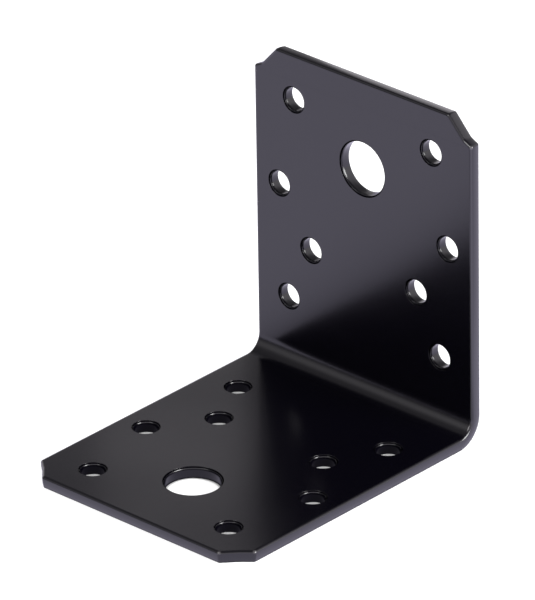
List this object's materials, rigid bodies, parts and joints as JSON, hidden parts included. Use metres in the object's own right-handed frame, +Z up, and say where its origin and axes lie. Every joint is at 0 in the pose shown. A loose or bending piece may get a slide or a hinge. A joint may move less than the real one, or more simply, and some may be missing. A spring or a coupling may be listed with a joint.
{
  "type": "angle bracket",
  "caption": "Right-angle bracket folded from one strip of black coated sheet steel, with two square legs, cut corners, nail holes and a bolt hole in each leg.",
  "frame": {"origin": "middle of the footprint, on the underside of the base leg", "axes": "+X along the bend, +Y from the base leg's free edge towards the back of the upright, +Z up the upright"},
  "size_m": [0.0564, 0.07, 0.07],
  "materials": {
    "black_coated_steel": "semi-gloss black powder coat, smooth with a faint orange-peel"
  },
  "bodies": {
    "root": {"angle_bracket": "black_coated_steel"}
  },
  "joints": []
}
